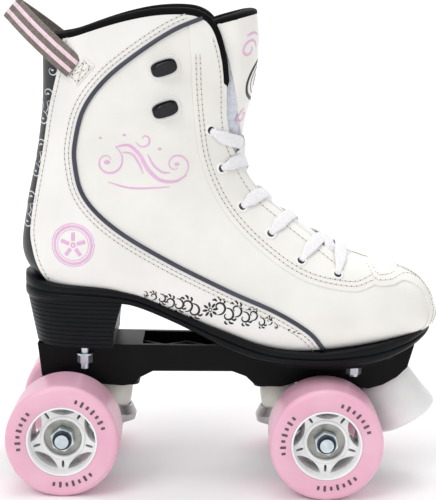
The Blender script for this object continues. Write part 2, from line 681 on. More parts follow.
# One bead per stitch, or with between one in each gap, where the needle went in.
def buildStitches(name, rows, thread, sizes, between=False):
    if between:
        rows = [((r[0][:-1] + r[0][1:]) / 2, r[1][:-1], r[2][:-1]) for r in rows]
    centres = np.concatenate([r[0] for r in rows]) * mm
    along = np.concatenate([r[1] for r in rows])
    outward = np.concatenate([r[2] for r in rows])
    piece = makeObject(name, centres, [], None, smooth=False)
    for label, values in (("along", along), ("outward", outward)):
        layer = piece.data.attributes.new(label, "FLOAT_VECTOR", "POINT")
        layer.data.foreach_set("vector", values.ravel())
    tree = stitchTree()
    modifier = piece.modifiers.new("stitches", "NODES")
    modifier.node_group = tree
    for item in tree.interface.items_tree:
        if item.in_out == "INPUT" and item.name == "Thread":
            modifier[item.identifier] = thread
        elif item.in_out == "INPUT" and item.name in sizes:
            modifier[item.identifier] = sizes[item.name] * mm
    applyModifiers(piece)
    piece.data.polygons.foreach_set("use_smooth", [True] * len(piece.data.polygons))
    return piece


def line(points, side, spacing=2.0):
    return [tuple(p) for p in sideOutline(points, side, spacing)]


def shellOutline(collar, throat):
    near = line(collar, -1) + line(throat, -1)
    far = line(collar, 1) + line(throat, 1)
    low = [(u, -1.0) for u in np.linspace(0, near[0][0], 120)[:-1]]
    high = [(u, 1.0) for u in np.linspace(0, far[0][0], 120)[:-1]]
    toe = [(0.0, s) for s in np.linspace(1, -1, 24)[1:-1]]
    return low + near + far[::-1] + high[::-1] + toe


def stagger(points, dx, dz):
    return [(x + dx, z + dz) for x, z in points]


upper = patch("upperShell", shellOutline(collarLine, throatLine), 0.8, boot["leather"],
              whiteLeather, 3.2)
finishPiece(upper, "boot", "upper_shell", slot="white_leather")
lowCollar = stagger(collarLine, 0.0, -2.5)
liningPiece = patch("liningPadding", shellOutline(lowCollar[:-2] + [(-14.0, 262.0)],
                                                  stagger(throatLine[1:], -9.0, -7.0)),
                    3.1, boot["lining"], liningCloth, 4.5, bevel=1.2)
finishPiece(liningPiece, "boot", "lining", slot="lining_fabric")
print("upper ready")


panels, stays = [], []
for side in (-1, 1):
    topEdge = [(-92.6, 261.0), (-89.0, 262.8), (-72.0, 269.0), (-56.0, 273.9), (-40.0, 277.2),
               (-25.0, 278.1), (-12.5, 274.8)]
    bottomEdge = [(61.0, 84.5), (41.7, 82.5), (28.4, 84.2), (15.1, 88.1), (-6.4, 95.7),
                  (-27.6, 104.1), (-43.1, 110.7), (-55.2, 113.8), (-71.4, 116.3), (-99.0, 113.5)]
    outline = (line(pipingLine, side) + line(bottomEdge, side)[1:]
               + line(panelBackLine, side)[::-1][1:] + line(topEdge, side)[1:-1])
    panels.append(patch("quarterPanel", outline, 0.0, boot["overlay"], whiteLeatherCool, 2.6, bevel=0.3))
    eyestayEdge = line(eyestayLine, side)
    throatEdge = line(throatLine, side)
    join = line([(-3.0, 264.0), (-7.4, 272.8), (-14.6, 277.2), (-20.6, 277.2)], side)
    seamEnd = line([(90.3, 121.9), (89.8, 122.5), (84.0, 131.4), (79.0, 135.6), (71.0, 134.6)],
                   side)
    outline = throatEdge[::-1] + join[1:] + eyestayEdge[1:] + seamEnd[1:-1]
    stays.append(patch("eyeletStay", outline, 0.0, boot["overlay"], whiteLeather, 2.4, bevel=0.3))
finishPiece(joinPieces("quarterPanels", panels), "boot", "heel_panels", slot="white_leather")
finishPiece(joinPieces("eyeletStays", stays), "boot", "eyestay", slot="white_leather")


def toeOutline():
    near, far = line(toeSeam, -1), line(toeSeam, 1)
    toeEnd = [(0.0, s) for s in np.linspace(far[-1][1], near[-1][1], 20)]
    bottomNear = [(u, near[-1][1]) for u in np.linspace(near[-1][0], 0, 12)[1:]]
    bottomFar = [(u, far[-1][1]) for u in np.linspace(0, far[-1][0], 12)[:-1]]
    return near + bottomNear + toeEnd[::-1] + bottomFar + far[::-1]


toePiece = patch("toePiece", toeOutline(), 0.0, boot["overlay"], whiteLeather, 2.4, bevel=0.3)
finishPiece(toePiece, "boot", "toe_overlay", slot="white_leather")


def stayOutline():
    near, far = line(panelBackLine, -1), line(panelBackLine, 1)
    near = [(u, s + 2.0) for u, s in near]
    top = [(u, s) for u, s in zip(np.linspace(far[0][0], near[0][0], 10),
                                  np.linspace(far[0][1], near[0][1], 10))][1:-1]
    bottom = [(u, s) for u, s in zip(np.linspace(near[-1][0], far[-1][0], 10),
                                     np.linspace(near[-1][1], far[-1][1], 10))][1:-1]
    return far[::-1] + top + near + bottom


backStay = patch("backStay", stayOutline(), 0.0, boot["overlay"], blackLeather, 2.4, bevel=0.3)
finishPiece(backStay, "boot", "back_stay", slot="black_leather")
print("overlays ready")

pipes = [strip("pipe", pipingLine, side, 2.6, 2.6, pipingLeather, depth=0.1, power=2.0, sides=14)
         for side in (-1, 1)]
finishPiece(joinPieces("pipingCord", pipes), "boot", "piping", slot="dark_piping")

collar = {
    "backWidth": 7.4,
    "frontWidth": 4.4,
    "height": 5.0,
    "dropEnd": (2.1, 235.0),
}


def buildCollar():
    down = [p for p in throatLine if p[1] > collar["dropEnd"][1]] + [collar["dropEnd"]]
    sideLine = collarLine[1:] + down[1:]
    nearUv, farUv = sideOutline(sideLine, -1, 3.0), sideOutline(sideLine, 1, 3.0)
    back = [(u, s) for u, s in zip(np.linspace(farUv[0][0], nearUv[0][0], 16),
                                   np.linspace(farUv[0][1], nearUv[0][1] + 2.0, 16))][1:-1]
    uv = np.array([tuple(p) for p in farUv[::-1]] + back + [(u, s + 2.0) for u, s in nearUv])
    share = np.abs(np.linspace(-1, 1, len(uv)))
    width = collar["backWidth"] + (collar["frontWidth"] - collar["backWidth"]) * share ** 1.5
    centres, outs = surfacePoints(uv[:, 0], uv[:, 1], width / 2 - 0.6)
    smooth = centres.copy()
    for _ in range(3):
        smooth[1:-1] = (smooth[:-2] + 2 * smooth[1:-1] + smooth[2:]) / 4
    _, across, outs = directions(smooth, outs)
    tip = np.clip(np.minimum(np.arange(len(uv)), np.arange(len(uv))[::-1]) / 2.0 + 0.55, 0, 1)
    return sweep("collarBinding", smooth, across, outs, collar["height"] * tip, width * tip,
                 bindingLeather, 2.3, 20)


finishPiece(buildCollar(), "boot", "collar_binding", slot="black_padding")


def sideAt(lineUv, u):
    order = np.argsort(lineUv[:, 0])
    return np.interp(u, lineUv[order, 0], lineUv[order, 1])


tongueSettings = {
    "topCrown": (19.0, 278.6),
    "topSide": 268.0,           # height of the top edge where it meets the quarters
    "edgeUnder": 0.10,          # how far the tongue runs under each eyelet stay, in half turns
    "edgeDepth": 3.4,
    "thickness": 5.5,
    "panelEdge": [(-3.6, 270.5), (-0.4, 262.0), (3.6, 250.1), (6.6, 234.0), (8.9, 218.0),
                  (11.0, 206.0), (14.0, 196.0)],
}
crownDepths = [(0.0, 0.6), (0.62, 0.4), (0.8, -1.0), (0.92, -0.6), (1.0, 1.4)]
throatNear = sideOutline(throatLine, -1)
tongueTopRow = findOnSurface([tongueSettings["topCrown"]], -1)[0][0]
tongueLowRow = findOnSurface([(72.0, 138.0)], -1)[0][0]


def tongueDepth(u, s):
    edge = np.abs(sideAt(throatNear, u))
    share = np.clip(np.abs(s) / np.maximum(edge, 0.02), 0, 1.4)
    run = (u - tongueLowRow) / (tongueTopRow - tongueLowRow)
    low = np.interp(run, [c[0] for c in crownDepths], [c[1] for c in crownDepths])
    high = tongueSettings["edgeDepth"]
    return low + (high - low) * np.clip((share - 0.72) / 0.25, 0, 1) ** 1.2


# Row of the tongue's top edge, which drops towards the quarters.
def tongueEnd(s, edge):
    drop = tongueTopRow - findOnSurface([(-5.0, tongueSettings["topSide"])], -1)[0][0]
    return tongueTopRow - drop * np.clip(np.abs(s) / edge, 0, 1) ** 2.4


def buildTongue():
    steps = 41
    outer, inner = [], []
    edges = np.linspace(-1, 1, steps)
    for run in np.linspace(0, 1, 90):
        base = tongueLowRow + (tongueTopRow - tongueLowRow) * run
        edge = abs(sideAt(throatNear, base)) + tongueSettings["edgeUnder"]
        across = edge * edges
        row = tongueLowRow + (tongueEnd(across, edge) - tongueLowRow) * run
        depth = tongueDepth(row, across)
        fade = 1.0 - 0.5 * np.abs(edges) ** 3
        outer.append(surfacePoints(row, across, depth)[0])
        inner.append(surfacePoints(row, across, depth + tongueSettings["thickness"] * fade)[0])
    outer, inner = np.array(outer), np.array(inner)
    loops = np.concatenate([outer, inner[:, ::-1]], axis=1)
    rows, count = loops.shape[:2]
    faces = [(i * count + j, i * count + (j + 1) % count, (i + 1) * count + (j + 1) % count,
              (i + 1) * count + j) for i in range(rows - 1) for j in range(count)]
    for i, flip in ((0, 1), (rows - 1, 0)):
        for j in range(steps - 1):
            a, b = i * count + j, i * count + j + 1
            c, d = i * count + count - 2 - j, i * count + count - 1 - j
            faces.append((a, b, c, d) if flip else (d, c, b, a))
    piece = makeObject("tongue", loops.reshape(-1, 3) * mm, faces, tongueCloth)
    tidyMesh(piece, merge=1e-7)
    edge = (outer[-1] + inner[-1]) / 2
    up = outer[-1] - outer[-2]
    up /= np.linalg.norm(up, axis=1, keepdims=True)
    outs = outer[-1] - inner[-1]
    thickness = np.linalg.norm(outs, axis=1) + 2.0
    outs /= np.linalg.norm(outs, axis=1, keepdims=True)
    trim = sweep("tongueTrim", edge - up * 1.0, up, outs, 4.6, thickness, bindingLeather, 2.6, 14)
    return joinPieces("tonguePad", [piece, trim])


# Leather panel sewn on the padded cloth of the tongue.
def buildTonguePanel():
    near = [(u, s) for u, s in line(tongueSettings["panelEdge"], -1)]
    lowEnd = [(u, s * 0.98) for u, s in throatNear[::-1] if near[-1][0] > u > tongueLowRow]
    lowEnd = sorted(lowEnd, key=lambda p: -p[0])
    near = near + lowEnd
    far = [(u, -s) for u, s in near]
    topEdge = abs(sideAt(throatNear, tongueTopRow)) + tongueSettings["edgeUnder"]
    first = near[0]
    top = [(float(tongueEnd(t * first[1], topEdge)) - 0.4, t * first[1])
           for t in np.linspace(-0.96, 0.96, 20)]
    outline = near + far[::-1] + top
    return patch("tonguePanel", outline, lambda u, s: tongueDepth(u, s) - 0.85, 1.0, whiteLeather,
                 2.4, bevel=0.35)


tongueCloth = wovenCloth("ribbedTongueTextile", "#D9DDE6", "#C9CEDA", 0.9, 0.85, 0.4)
finishPiece(buildTongue(), "boot", "tongue", slot="white_leather")
finishPiece(buildTonguePanel(), "boot", slot="white_leather")

lace = {
    "width": 7.8,
    "endWidth": 3.2,            # where the lace comes out of an eyelet
    "thick": 1.5,
    "onStay": 1.3,              # height of the lace's middle above the eyelet stay
    "onTongue": 1.0,
    "overLift": 2.0,            # how far one lace is lifted where it crosses another
    "tuck": 0.035,              # how far an end runs under the opposite stay, in half turns
}
eyeletNear = findOnSurface(eyeletPlaces, -1)
eyeletFar = findOnSurface(eyeletPlaces, 1)


def laceRun(name, start, end, crown, through=False):
    share = np.linspace(0, 1, 90)
    u = start[0] + (end[0] - start[0]) * share
    s = start[1] + (end[1] - start[1]) * share
    edge = np.abs(sideAt(throatNear, u))
    toward = s * math.copysign(1, end[1])
    kept = (toward < edge + lace["tuck"]) | through
    u, s, edge, toward = u[kept], s[kept], edge[kept], toward[kept]
    share = np.linspace(0, 1, len(u))
    lift = lace["onTongue"] - tongueDepth(u, s)
    lift += crown * np.clip(1 - np.abs(toward) / edge, 0, 1) ** 0.6
    lift = np.where((toward < 0) | through, np.maximum(lift, lace["onStay"]), lift)
    for _ in range(6):
        lift[1:-1] = (lift[:-2] + 2 * lift[1:-1] + lift[2:]) / 4
    away = np.minimum(share, 1 - share) if through else share
    ends = away < 0.1
    lift[ends] = np.interp(away[ends], [0, 0.035, 0.1], [-0.6, 0.8, lift[share >= 0.1][0]])
    centres, outs = surfacePoints(u, s, -lift)
    _, across, outs = directions(centres, outs)
    width = np.interp(away, [0, 0.05, 0.2], [lace["endWidth"], lace["endWidth"] + 0.8,
                                             lace["width"]])
    return sweep(name, centres, across, outs, width, lace["thick"], laceCloth, 3.0, 14)


laceCloth = wovenCloth("flatWovenLaceWhite", "#F7F6F9", "#EDECEF", 0.55, 0.8, 0.25)
runs = [laceRun("laceTop", eyeletNear[0], eyeletFar[2], 0.4),
        laceRun("laceTop", eyeletFar[0], eyeletNear[2], lace["overLift"]),
        laceRun("laceBottom", eyeletNear[-1], eyeletFar[-1], lace["overLift"], True)]
for k in range(1, len(eyeletPlaces) - 1):
    high = lace["overLift"] if k % 2 else 0.2
    low = 0.2 if k % 2 else lace["overLift"]
    runs.append(laceRun("laceNear", eyeletNear[k], eyeletFar[k + 1], high))
    runs.append(laceRun("laceFar", eyeletFar[k], eyeletNear[k + 1], low))
finishPiece(joinPieces("laceRuns", runs), "boot", "laces", slot="white_lace")
print("tongue and laces ready")

eyeletShape = {
    "hole": 2.1,
    "rim": 3.7,
    "height": 0.8,
}


def buildEyelets():
    pieces = []
    for u, s in list(eyeletNear) + list(eyeletFar):
        place, normal = surfacePoints(np.array([u]), np.array([s]), np.zeros(1))
        hole, rim, high = eyeletShape["hole"], eyeletShape["rim"], eyeletShape["height"]
        middle = (hole + rim) / 2
        half = (rim - hole) / 2
        top = [(middle + half * math.cos(t), high * math.sin(t))
               for t in np.linspace(0, math.pi, 9)]
        profile = top + [(hole, -2.2), (hole + 0.6, -2.2), (hole + 0.6, -0.3), (rim, -0.3)]
        pieces.append(revolve("eyelet", profile, place[0], normal[0], eyeletWhite, 28))
        floor = [(0.0, 0.14), (hole + 0.1, 0.14), (hole + 0.1, -0.4), (0.0, -0.4)]
        pieces.append(revolve("hole", floor, place[0], normal[0], eyeletShade, 28))
    return joinPieces("eyeletRings", pieces)


eyeletWhite = plainMetal("enamelledBrassWhite", "#EDEDEC", "#F6F6F5", 0.25, 300.0, 0.01, 0.0)
eyeletShade = mouldedPlastic("eyeletHoleShade", "#2E3036", "#3A3C42", 0.8, 0.5, 0.01)
finishPiece(buildEyelets(), "boot", "eyelets", slot="white_enamel")

hook = {
    "baseLength": 15.0,
    "baseWidth": 9.0,
    "rise": 5.2,
    "lipLength": 11.5,
}


def slabOnPlane(name, place, along, out, length, width, low, high, material, power=3.0,
                shift=0.0):
    across = np.cross(out, along)
    angle = np.linspace(0, 2 * math.pi, 32, endpoint=False)
    ca = np.sign(np.cos(angle)) * np.abs(np.cos(angle)) ** (2 / power)
    sa = np.sign(np.sin(angle)) * np.abs(np.sin(angle)) ** (2 / power)
    rings = []
    for z, inset in ((low, 0.25), (low + 0.25, 0.0), (high - 0.3, 0.0), (high, 0.4)):
        ring = (place + out * z + along * shift
                + np.outer(ca, along) * (length / 2 - inset)
                + np.outer(sa, across) * (width / 2 - inset))
        rings.append(ring)
    count = len(angle)
    verts = np.concatenate(rings) * mm
    faces = [(i * count + j, i * count + (j + 1) % count, (i + 1) * count + (j + 1) % count,
              (i + 1) * count + j) for i in range(3) for j in range(count)]
    faces.append(tuple(range(count))[::-1])
    faces.append(tuple(3 * count + j for j in range(count)))
    piece = makeObject(name, verts, faces, material, smooth=False)
    tidyMesh(piece, merge=1e-7)
    return piece


def buildHooks():
    pieces = []
    for side in (-1, 1):
        for x, z in hookPlaces:
            found = findOnSurface([(x, z)], side)[0]
            ahead = findOnSurface([(x + 3, z + 1.0)], side)[0]
            here, out = surfacePoints(*[np.array([v]) for v in (found[0], found[1], -0.1)])
            there, _ = surfacePoints(*[np.array([v]) for v in (ahead[0], ahead[1], -0.1)])
            out = out[0]
            along = there[0] - here[0]
            along -= out * (along @ out)
            along /= np.linalg.norm(along)
            pieces.append(slabOnPlane("hookPatch", here[0], along, out, 18.6, 12.4, -1.0, 0.35,
                                      hookWhite, 3.4))
            pieces.append(slabOnPlane("hookBase", here[0], along, out, hook["baseLength"],
                                      hook["baseWidth"], 0.0, 1.3, hookBlack))
            pieces.append(slabOnPlane("hookNeck", here[0], along, out, 5.0,
                                      hook["baseWidth"] - 3.4, 0.8, hook["rise"] - 0.4, hookBlack,
                                      shift=-3.0))
            pieces.append(slabOnPlane("hookLip", here[0], along, out, hook["lipLength"],
                                      hook["baseWidth"] - 1.6, hook["rise"] - 1.2, hook["rise"],
                                      hookBlack, shift=0.5))
    return joinPieces("speedHooks", pieces)


hookWhite = leather("hookPatchLeather", "#F3F2F0", "#EAE9E7", 0.4)
hookBlack = plainMetal("enamelledSteelBlack", "#0B0C0F", "#15161A", 0.3, 300.0, 0.01, 0.2)
finishPiece(buildHooks(), "boot", "speed_hooks", slot="black_enamel")

loop = {
    "nearTop": (-80.8, 250.9), "nearBottom": (-90.1, 240.1),
    "farTop": (-119.0, 281.5), "farBottom": (-127.0, 271.8),
    "thick": 1.9,
}


def buildLoop():
    root = (np.array(loop["nearTop"]) + loop["nearBottom"]) / 2
    tip = (np.array(loop["farTop"]) + loop["farBottom"]) / 2
    run = tip - root
    length = np.linalg.norm(run)
    run = run / length
    wide = np.array([-run[1], run[0]])
    gap = surfaceHalf(root) + 0.6
    path = []
    for t in np.linspace(0, 1, 30):
        path.append((length * t, -gap + (gap - 2.4) * t ** 2.2))
    for t in np.linspace(-math.pi / 2, math.pi / 2, 12)[1:-1]:
        path.append((length + 2.4 * math.cos(t), 2.4 * math.sin(t)))
    path += [(a, -b) for a, b in path[:30]][::-1]
    path = np.array(path)
    centres = np.stack([root[0] + run[0] * path[:, 0], path[:, 1],
                        root[1] + run[1] * path[:, 0]], axis=1)
    across = np.tile((wide[0], 0.0, wide[1]), (len(path), 1))
    along = np.gradient(centres, axis=0)
    along /= np.linalg.norm(along, axis=1, keepdims=True)
    outs = np.cross(along, across)
    strap = sweep("pullStrap", centres, across, outs, 14.2, loop["thick"], webbing, 6.0, 16)
    flip = np.sign((outs[10] @ np.array((0, -1, 0))))
    stripes = []
    for shift in (-2.9, 2.9):
        stripes.append(sweep("pullStripe", centres + across * shift + outs * flip * 0.8, across,
                             outs, 2.7, 0.5, webbingPink, 4.0, 8))
    return joinPieces("pullLoop", [strap] + stripes)


def surfaceHalf(point):
    u, s = findOnSurface([tuple(point)], -1)[0]
    return abs(surfacePoints(np.array([u]), np.array([s]), np.zeros(1))[0][0][1])


webbing = wovenCloth("wovenWebbingGrey", "#6E645F", "#7F756F", 0.7, 0.85, 0.3)
webbingPink = wovenCloth("wovenWebbingPink", "#E9CAD5", "#F0D9E1", 0.7, 0.85, 0.3)
finishPiece(buildLoop(), "boot", "pull_loop", slot="grey_webbing")
rootCorners = [(-78.6, 251.4), (-73.1, 246.9), (-84.0, 234.5), (-89.7, 239.6), (-78.6, 251.4)]
rootPatches = []
for side in (-1, 1):
    found = findOnSurface(evenLine(rootCorners, 1.5)[:-1], side)
    rootPatches.append(patch("loopRoot", found, -0.85, 0.9, whiteLeather, 1.6, bevel=0.25))
    middle = np.mean(rootCorners[:-1], axis=0)
    inner = [tuple(middle + (np.array(c) - middle) * 0.74) for c in rootCorners]
    sew(inner, side, -1.0, smooth=False)
    sew([inner[0], inner[2]], side, -1.0, smooth=False)
    sew([inner[1], inner[3]], side, -1.0, smooth=False)
finishPiece(joinPieces("loopRootPatches", rootPatches), "boot", slot="white_leather")
print("hardware ready")


def lineValue(points, x):
    pts = smoothLine(points)
    order = np.argsort(pts[:, 0])
    return np.interp(x, pts[order, 0], pts[order, 1])


def footLoop(inset, spacing=2.0):
    edge = evenLine(smoothLine(footprint), spacing)
    along = np.gradient(edge, axis=0)
    along /= np.linalg.norm(along, axis=1, keepdims=True)
    inner = edge + np.stack([along[:, 1], -along[:, 0]], axis=1) * inset
    inner[:, 1] = np.maximum(inner[:, 1], 0)
    return inner


# Solid from matching half rings (y >= 0, back to front), mirrored about the middle.
def stackedRings(name, rings, material, smooth=True):
    count = len(rings[0])
    full = []
    for ring in rings:
        far = np.asarray(ring, float)
        near = far[1:-1][::-1] * (1, -1, 1)
        full.append(np.concatenate([far, near]))
    size = len(full[0])
    verts = np.concatenate(full) * mm
    faces = [(i * size + j, i * size + (j + 1) % size, (i + 1) * size + (j + 1) % size,
              (i + 1) * size + j) for i in range(len(full) - 1) for j in range(size)]
    for i, flip in ((0, False), (len(full) - 1, True)):
        base = i * size
        for j in range(count - 1):
            a, b = base + j, base + j + 1
            c = base + (size - j - 1) % size if j + 1 < count - 1 else base + j + 1
            d = base + (size - j) % size
            face = [v for k, v in enumerate((a, b, c, d)) if v not in (a, b, c, d)[:k]]
            if len(face) > 2:
                faces.append(tuple(face[::-1] if flip else face))
    piece = makeObject(name, verts, faces, material, smooth)
    tidyMesh(piece, merge=1e-7)
    return piece


soleEdge = [(0.0, 2.2), (0.06, 0.9), (0.14, 0.25), (0.26, 0.0), (0.40, 0.0), (0.44, 0.2),
            (0.47, 1.1), (0.52, 1.1), (0.55, 0.2), (0.59, 0.0), (0.88, 0.0), (0.95, 0.3),
            (1.0, 1.1)]


def buildSole():
    rings = []
    for share, inset in soleEdge:
        loopLine = footLoop(inset)
        low, high = lineValue(soleLow, loopLine[:, 0]), lineValue(soleHigh, loopLine[:, 0])
        rings.append(np.column_stack([loopLine, low + (high - low) * share]))
    return stackedRings("outsole", rings, blackMoulding)


heel = {
    "low": 80.5,
    "high": 108.4,
    "ridge": 2.6,
    "groove": 0.35,
    "inset": 1.4,
    "breastLow": -62.5,
    "breastHigh": -57.4,
}


def buildHeel():
    rings = []
    z = heel["low"]
    levels = [(heel["low"], 0.6), (heel["low"] + 0.5, 0.0)]
    while z + heel["ridge"] < heel["high"] - 0.6:
        z += heel["ridge"]
        levels += [(z - 0.35, 0.0), (z - 0.2, heel["groove"]), (z + 0.1, heel["groove"]),
                   (z + 0.25, 0.0)]
    levels.append((heel["high"], 0.0))
    for z, extra in levels:
        share = (z - heel["low"]) / (heel["high"] - heel["low"])
        breast = heel["breastLow"] + (heel["breastHigh"] - heel["breastLow"]) * math.sin(
            math.pi / 2 * min(1.0, share)) - 2.4 * math.sin(math.pi * share)
        back = 6.0 * (1 - share)
        edge = footLoop(heel["inset"] + extra, 1.5)
        edge = edge[edge[:, 0] < -54.0]
        start, end = edge[0, 0], -56.0
        xs = start + back + (edge[:, 0] - start) * (breast - extra - start - back) / (end - start)
        xs = np.minimum(xs, breast - extra)
        half = edge[-1, 1]
        flat = [(breast - extra, half * t, z) for t in (0.8, 0.6, 0.4, 0.2, 0.0)]
        ring = [(x, y, z) for x, y in zip(xs, edge[:, 1])]
        rings.append(np.array(ring + flat))
    size = min(len(r) for r in rings)
    rings = [r if len(r) == size else np.concatenate([r[:size - 5], r[-5:]]) for r in rings]
    return stackedRings("heelBlock", rings, blackMoulding, smooth=False)


finishPiece(buildSole(), "boot", "sole", slot="black_moulding")
finishPiece(buildHeel(), "boot", "heel_block", slot="black_moulding")
print("sole ready")

wheel = {
    "radius": 33.0,
    "bore": 20.75,
    "middle": 46.0,
    "halfWidth": 18.9,
    "shoulder": 3.6,
    "axleHeight": 33.0,
}
axleX = {"rear": -89.9, "front": 62.9}


def urethane(name, first, second, clear):
    # Cast urethane: slightly clear, so light softens under its skin; the tread is worn matt.
    material, tree, shader = newMaterial(name, roughness=0.36, Subsurface_Weight=clear,
                                         Subsurface_Scale=0.004, Specular_IOR_Level=0.45)
    shader.inputs["Subsurface Radius"].default_value = (1.0, 0.6, 0.6)
    colourSpread(tree, shader, first, second, 45.0)
    noise = addNode(tree, "ShaderNodeTexNoise", {"Scale": 900.0, "Detail": 3.0},
                    {"Vector": objectPlace(tree)})
    grainBump(tree, shader, noise.outputs["Fac"], 0.35, 0.03)
    return material


pinkUrethane = urethane("castUrethanePink", "#EFBCD0", "#EBB2C8", 0.12)
wheelPrint = mouldedPlastic("padPrintInk", "#5C4A52", "#66525B", 0.5, 0.6, 0.01)


tyreMarks = {
    "groups": 3,
    "perGroup": 7,
    "firstAngle": 20.0,
    "step": 8.5,                # degrees between two bars
    "ringRadius": 25.4,
    "lengths": (2.4, 3.6),
    "width": 1.5,
}


def tyreProfile():
    half, r, s = wheel["halfWidth"], wheel["radius"], wheel["shoulder"]
    right = [(wheel["bore"], half - 0.9), (wheel["bore"] + 0.5, half - 0.5),
             (r - 4.2, half), (r - 3.2, half - 0.1)]
    right += [(r - s + s * math.sin(t), half - s + s * math.cos(t))
              for t in np.linspace(0.25, math.pi / 2, 9)]
    right += [(r, half - s - 3.0)]
    return right + [(a, -b) for a, b in right[::-1]]


def buildTyre(end, side, corner):
    x = axleX[end]
    profile = [(r, a * side) for r, a in tyreProfile()]
    if side < 0:
        profile = profile[::-1]
    tyre = revolve("tyre", profile, (x, side * wheel["middle"], wheel["axleHeight"]), (0, 1, 0),
                   pinkUrethane, 128)
    marks = []
    face = wheel["middle"] + wheel["halfWidth"]
    out = np.array((0.0, side, 0.0))
    for group in range(tyreMarks["groups"]):
        for k in range(tyreMarks["perGroup"]):
            start = group * 360 / tyreMarks["groups"] + tyreMarks["firstAngle"]
            t = math.radians(start + k * tyreMarks["step"])
            radial = np.array((math.cos(t), 0.0, math.sin(t)))
            place = np.array((x, side * (face - 0.12), wheel["axleHeight"]))
            place += radial * tyreMarks["ringRadius"]
            marks.append(slabOnPlane("mark", place, radial, out, tyreMarks["lengths"][k % 2],
                                     tyreMarks["width"], -0.2, 0.22, wheelPrint, 6.0))
    piece = joinPieces(f"tyre{end.title()}{corner.title()}", [tyre] + marks)
    return finishPiece(piece, f"wheel_{end}_{corner}", f"tyre_{end}_{corner}",
                       slot="pink_urethane")


for end in ("front", "rear"):
    for side, corner in ((-1, "outer"), (1, "inner")):
        buildTyre(end, side, corner)
print("tyres ready")

stop = {
    "face": (114.5, 33.5),
    "tilt": 60.6,
    "height": 31.0,
    "topRadius": 16.2,
    "faceRadius": 21.0,
}


def buildStop():
    tilt = math.radians(stop["tilt"])
    down = (math.cos(tilt), 0.0, -math.sin(tilt))
    high, top, face = stop["height"], stop["topRadius"], stop["faceRadius"]
    profile = [(0.0, 0.0), (face - 3.0, 0.0)]
    profile += [(face - 3.0 + 3.0 * math.sin(t), -3.0 + 3.0 * math.cos(t))
                for t in np.linspace(0.2, math.pi / 2 - 0.1, 7)]
    profile += [(face - 0.6, -6.0), (face - 2.0, -12.0), (top + 0.4, -high + 4.0)]
    profile += [(top - 2.5 + 2.5 * math.cos(t), -high + 2.5 - 2.5 * math.sin(t))
                for t in np.linspace(0.1, math.pi / 2, 6)]
    profile += [(6.2, -high), (6.2, -high + 8.0), (0.0, -high + 8.0)]
    place = (stop["face"][0], 0.0, stop["face"][1])
    piece = revolve("toeStop", profile[::-1], place, down, whiteRubber, 96)
    return piece


finishPiece(buildStop(), "boot", "toe_stop", slot="white_rubber")


def ink(name, first, second, roughness=0.4):
    return mouldedPlastic(name, first, second, roughness, 0.5, 0.01)


pinkInk = ink("screenInkPink", "#E9BCE0", "#E4AFD8")
blackInk = ink("screenInkBlack", "#10141C", "#181D27")
whiteInk = ink("screenInkWhite", "#D5D8DE", "#E3E5E9")


def printLine(points, side, width, material, depth, taper=True, spacing=1.0):
    return strip("printLine", points, side, width, 0.24, material, depth, spacing, 4.0, 8, taper)


# Spiral about a side-view point: radii in mm, angles in degrees.
def curl(cx, cz, first, last, start, end):
    count = max(5, int(abs(end - start) / 30) + 1)
    turns = np.radians(np.linspace(start, end, count))
    radii = np.linspace(first, last, count)
    return [(cx + r * math.cos(t), cz + r * math.sin(t)) for r, t in zip(radii, turns)]


def dot(cx, cz, radius):
    return [(cx - radius * 0.5, cz), (cx, cz + 0.02), (cx + radius * 0.5, cz)]


flourish = [
    (curl(-66.0, 192.0, 9.6, 2.0, 60, -330), 1.1),
    ([(-61.5, 200.5), (-54.0, 201.5), (-47.5, 196.0), (-43.0, 188.0), (-36.0, 181.5),
      (-27.0, 180.5), (-20.5, 184.0)], 2.1),
    (curl(-26.5, 190.0, 8.0, 1.8, -50, 300), 1.0),
    (curl(-45.0, 205.0, 5.0, 1.2, 200, 520), 1.0),
    ([(-57.5, 197.5), (-52.0, 196.5), (-48.0, 191.0), (-45.5, 185.0)], 1.3),
    ([(-43.0, 196.5), (-39.5, 190.0), (-34.5, 186.0), (-30.0, 185.5)], 1.3),
    ([(-66.0, 180.0), (-54.0, 176.8), (-42.0, 176.6), (-30.0, 177.4)], 1.1),
    (dot(-66.5, 191.5, 3.4), 2.6), (dot(-26.0, 190.5, 2.8), 2.2), (dot(-36.0, 199.5, 2.2), 1.8),
    (dot(-56.5, 207.5, 2.0), 1.6), (dot(-70.5, 205.5, 1.8), 1.4),
]
emblem = [
    (curl(-86.2, 142.4, 12.6, 12.6, 0, 360), 0.5),
    (curl(-86.2, 142.4, 11.0, 11.0, 0, 360), 1.5),
    (curl(-86.2, 142.4, 9.2, 9.2, 0, 360), 0.4),
    (curl(-86.2, 142.4, 1.2, 1.2, 0, 360), 1.0),
] + [([(-86.2 + r * math.cos(a), 142.4 + r * math.sin(a)) for r in (2.6, 5.0, 7.4)], 2.2)
     for a in np.radians([18, 90, 162, 234, 306])]


